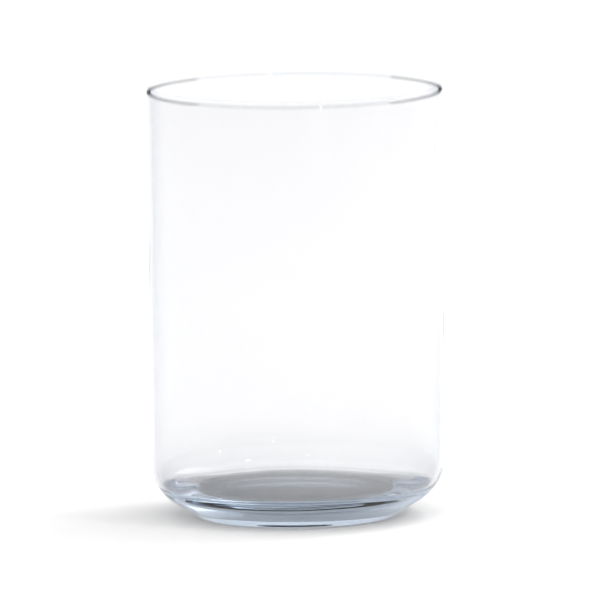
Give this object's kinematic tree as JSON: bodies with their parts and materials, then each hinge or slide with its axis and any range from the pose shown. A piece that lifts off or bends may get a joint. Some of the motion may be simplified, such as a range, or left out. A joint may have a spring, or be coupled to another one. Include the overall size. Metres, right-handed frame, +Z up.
{
  "type": "glass cylinder vase",
  "caption": "Straight-sided round vase of clear blown glass, with a sloped heel, a small flat foot, a thick floor and an open mouth that holds cut stems in water.",
  "frame": {"origin": "centre of the foot, on the plane the vase stands on", "axes": "+Z up along the axis of the vase, out of the mouth; +X to the right and +Y away when seen from the front"},
  "size_m": [0.15, 0.15, 0.22],
  "materials": {
    "clear_glass": "clear blown soda-lime glass, fire-polished all over"
  },
  "bodies": {
    "root": {"glass_vessel": "clear_glass"}
  },
  "joints": []
}
